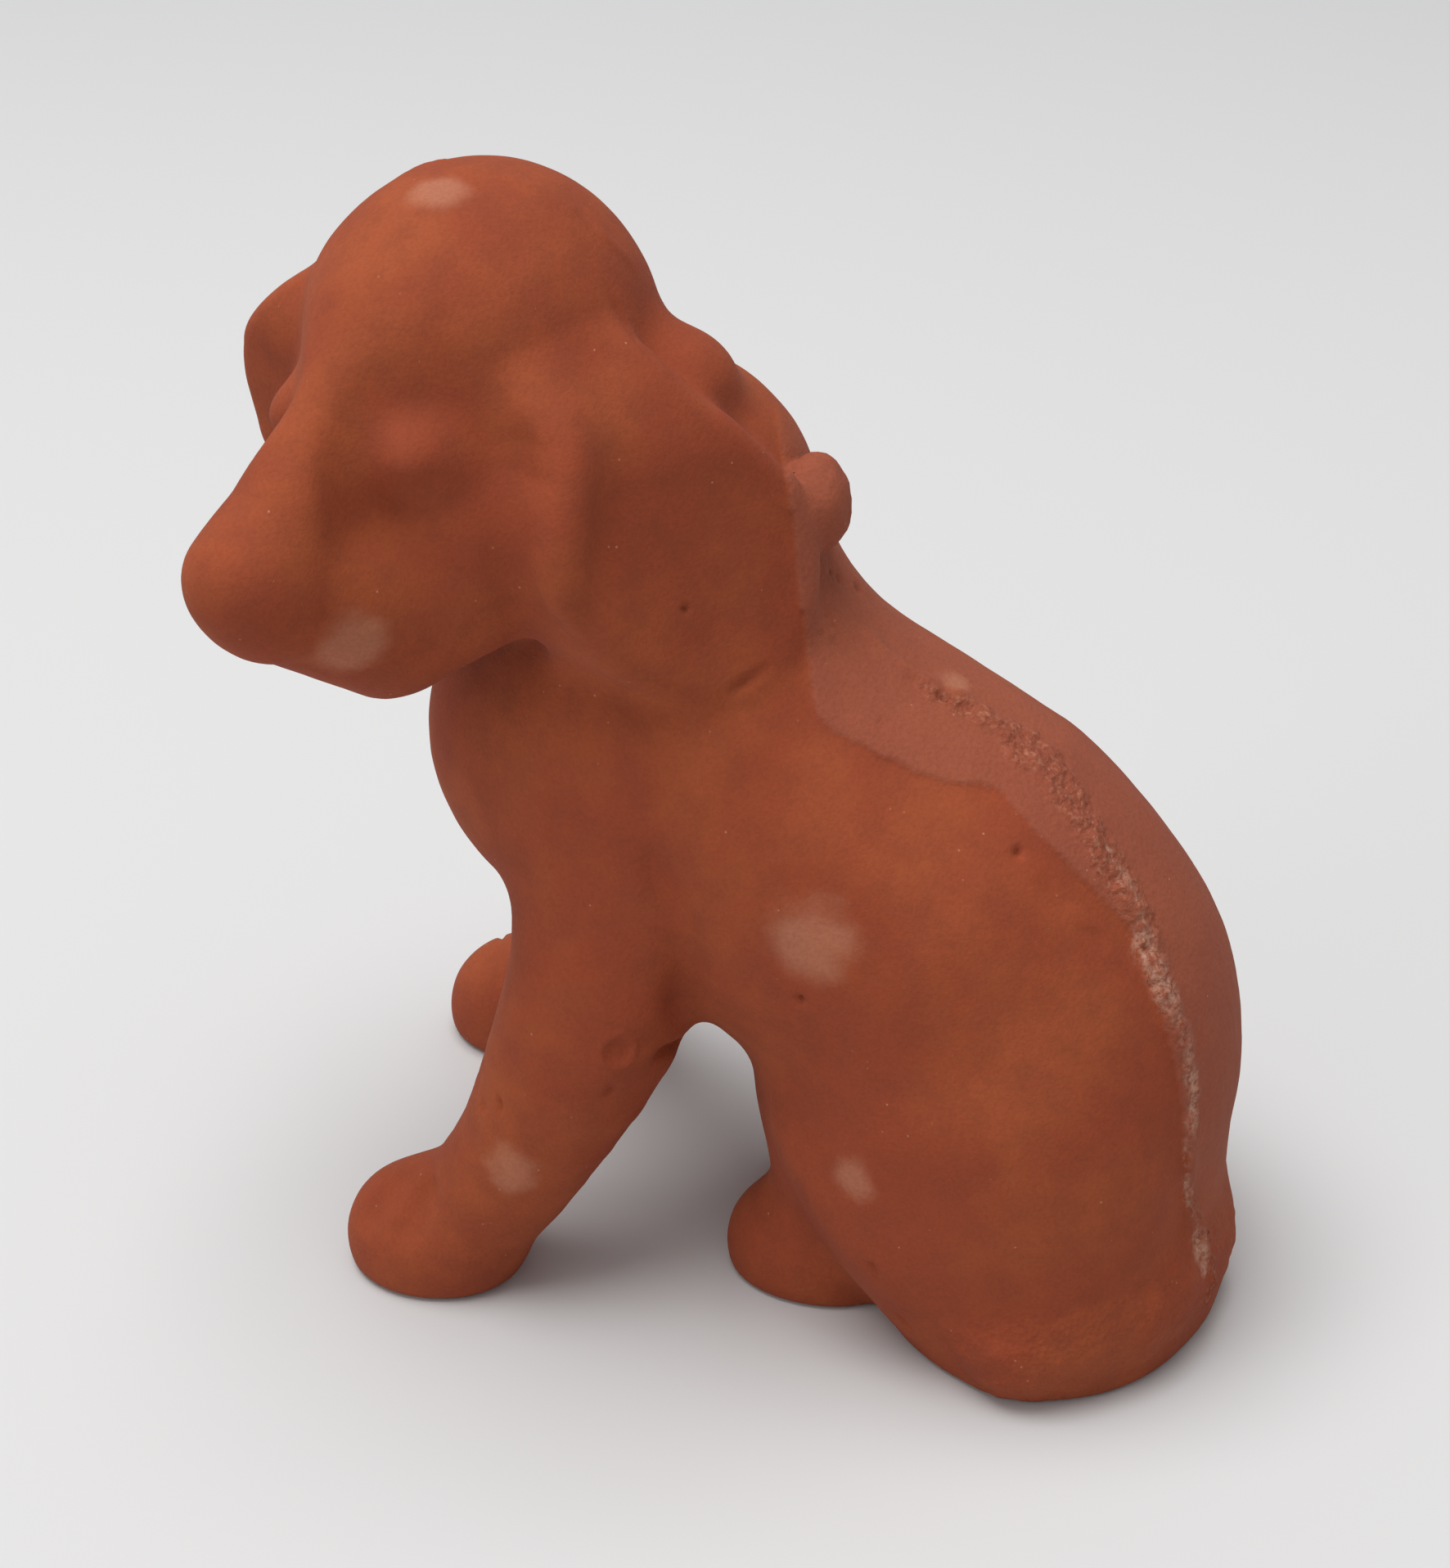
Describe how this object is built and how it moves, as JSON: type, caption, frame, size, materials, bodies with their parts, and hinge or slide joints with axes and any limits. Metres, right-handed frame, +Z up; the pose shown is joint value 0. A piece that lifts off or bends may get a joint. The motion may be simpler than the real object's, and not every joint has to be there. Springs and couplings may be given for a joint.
{
  "type": "earthenware puppy figure",
  "caption": "Sitting puppy in plain unglazed earthenware, head turned to its left, flat underside, stands by its own weight as an ornament.",
  "frame": {"origin": "middle of the bounding box in plan, on the ground under the figure", "axes": "+Z up, -Y the way the body faces, +X the puppy's left"},
  "size_m": [0.097, 0.1334, 0.156],
  "materials": {
    "earthenware": "matt unglazed low-fired clay, reddish brown, with scraped seam, pits and pale lime specks"
  },
  "bodies": {
    "root": {"puppy": "earthenware"}
  },
  "joints": []
}
